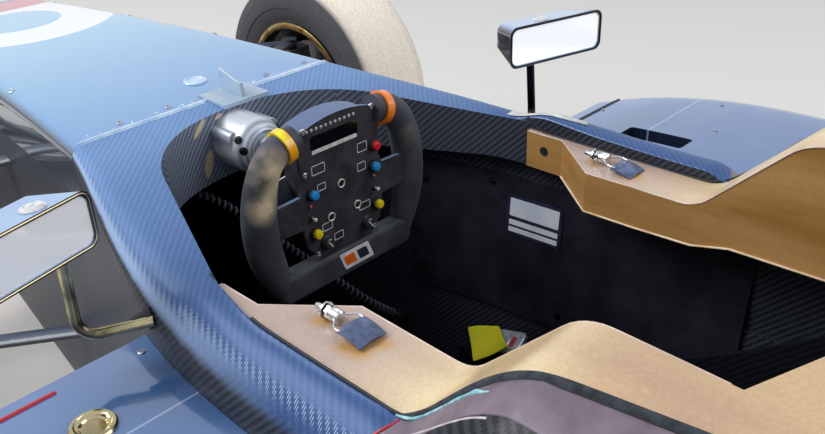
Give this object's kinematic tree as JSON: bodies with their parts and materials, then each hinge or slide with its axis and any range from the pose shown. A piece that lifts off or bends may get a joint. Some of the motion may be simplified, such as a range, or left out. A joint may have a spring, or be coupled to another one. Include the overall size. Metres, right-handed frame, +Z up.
{
  "type": "open wheel racing car",
  "caption": "Single-seat open wheel racing car with a hollow carbon tub, stiff cockpit surround, sidepods, wings, steered front wheels and turning wheels.",
  "frame": {"origin": "on the ground under the middle of the car", "axes": "+X forwards, +Y to the driver's left, +Z up"},
  "size_m": [4.3, 1.706, 0.936],
  "materials": {
    "carbon": "lacquered carbon twill",
    "body_paint": "dark gloss paint over composite",
    "hood_paint": "light blue gloss paint over composite",
    "orange_plastic": "moulded, bright orange",
    "display_glass": "dark, flat",
    "button_plastic": "moulded caps in several colours",
    "lead_jacket": "matt black jacket",
    "clear_plastic": "clear moulded plastic",
    "black_board": "matt black board",
    "aramid_cloth": "golden aramid cloth in resin",
    "machined_alloy": "machined",
    "black_steel": "black powder coat",
    "cast_alloy": "sand cast",
    "bare_alloy": "bare finned core",
    "exhaust_steel": "heat tinted",
    "red_lens": "moulded red lens",
    "mirror_glass": "polished",
    "stalk_metal": "polished tube",
    "bright_steel": "ground",
    "black_plastic": "moulded matt black",
    "grip_leather": "worn black suede",
    "tyre_rubber": "worn slick",
    "rim_paint": "satin dark paint"
  },
  "bodies": {
    "chassis": {"monocoque": "carbon", "hood_panel": "hood_paint", "deck_fin": "clear_plastic", "cockpit_panels": "black_board", "cockpit_liner": "aramid_cloth", "seat": "carbon", "column_bracket": "machined_alloy", "nose_cone": "hood_paint", "front_wing": "carbon", "front_wishbones": "black_steel", "rack_housing": "machined_alloy", "rear_uprights": "machined_alloy", "engine_block": "cast_alloy", "gearbox": "cast_alloy", "rear_wishbones": "black_steel", "floor": "carbon", "sidepod_left": "body_paint", "sidepod_right": "body_paint", "radiators": "bare_alloy", "roll_hoop": "carbon", "engine_cover": "body_paint", "exhaust": "exhaust_steel", "diffuser": "carbon", "crash_structure": "carbon", "rain_light": "red_lens", "rear_wing": "carbon", "rear_wing_pylon": "carbon", "mirror_housings": "body_paint", "mirror_glasses": "mirror_glass", "mirror_stalks": "stalk_metal", "latch_pins": "bright_steel", "harness_buckle": "machined_alloy", "cord_sockets": "black_plastic", "curly_lead": "lead_jacket"},
    "knuckle_left": {"upright_front_left": "machined_alloy"},
    "knuckle_right": {"upright_front_right": "machined_alloy"},
    "rack": {"rack_bar": "bright_steel"},
    "steering_wheel": {"steering_face": "black_plastic", "steering_grips": "grip_leather", "steering_hub": "machined_alloy", "thumb_rings": "orange_plastic", "wheel_display": "display_glass", "wheel_controls": "button_plastic"},
    "wheel_front_left": {"tyre_front_left": "tyre_rubber", "rim_front_left": "rim_paint", "hub_front_left": "bright_steel"},
    "wheel_front_right": {"tyre_front_right": "tyre_rubber", "rim_front_right": "rim_paint", "hub_front_right": "bright_steel"},
    "wheel_rear_left": {"tyre_rear_left": "tyre_rubber", "rim_rear_left": "rim_paint", "hub_rear_left": "bright_steel"},
    "wheel_rear_right": {"tyre_rear_right": "tyre_rubber", "rim_rear_right": "rim_paint", "hub_rear_right": "bright_steel"}
  },
  "joints": [
    {"name": "steer_left", "type": "hinge", "parent": "chassis", "child": "knuckle_left", "pos_m": [1.15, 0.648, 0.27], "axis": [0, 0, 1], "range_deg": [-16, 16]},
    {"name": "steer_right", "type": "hinge", "parent": "chassis", "child": "knuckle_right", "pos_m": [1.15, -0.648, 0.27], "axis": [0, 0, 1], "range_deg": [-16, 16]},
    {"name": "rack_slide", "type": "slide", "parent": "chassis", "child": "rack", "axis": [0, 1, 0], "range_m": [-0.03, 0.03]},
    {"name": "wheel_turn", "type": "hinge", "parent": "chassis", "child": "steering_wheel", "pos_m": [0.3, 0, 0.574], "axis": [-1, 0, 0], "range_deg": [-180, 180]},
    {"name": "spin_front_left", "type": "hinge", "parent": "knuckle_left", "child": "wheel_front_left", "pos_m": [1.15, 0.75, 0.27], "axis": [0, 1, 0], "continuous": true},
    {"name": "spin_front_right", "type": "hinge", "parent": "knuckle_right", "child": "wheel_front_right", "pos_m": [1.15, -0.75, 0.27], "axis": [0, 1, 0], "continuous": true},
    {"name": "spin_rear_left", "type": "hinge", "parent": "chassis", "child": "wheel_rear_left", "pos_m": [-1.6, 0.728, 0.288], "axis": [0, 1, 0], "continuous": true},
    {"name": "spin_rear_right", "type": "hinge", "parent": "chassis", "child": "wheel_rear_right", "pos_m": [-1.6, -0.728, 0.288], "axis": [0, 1, 0], "continuous": true}
  ],
  "couplings": [
    {"joint": "steer_right", "follows": "steer_left", "ratio": 1},
    {"joint": "rack_slide", "follows": "steer_left", "m_per_rad": 0.105},
    {"joint": "wheel_turn", "follows": "steer_left", "ratio": 11.25}
  ]
}
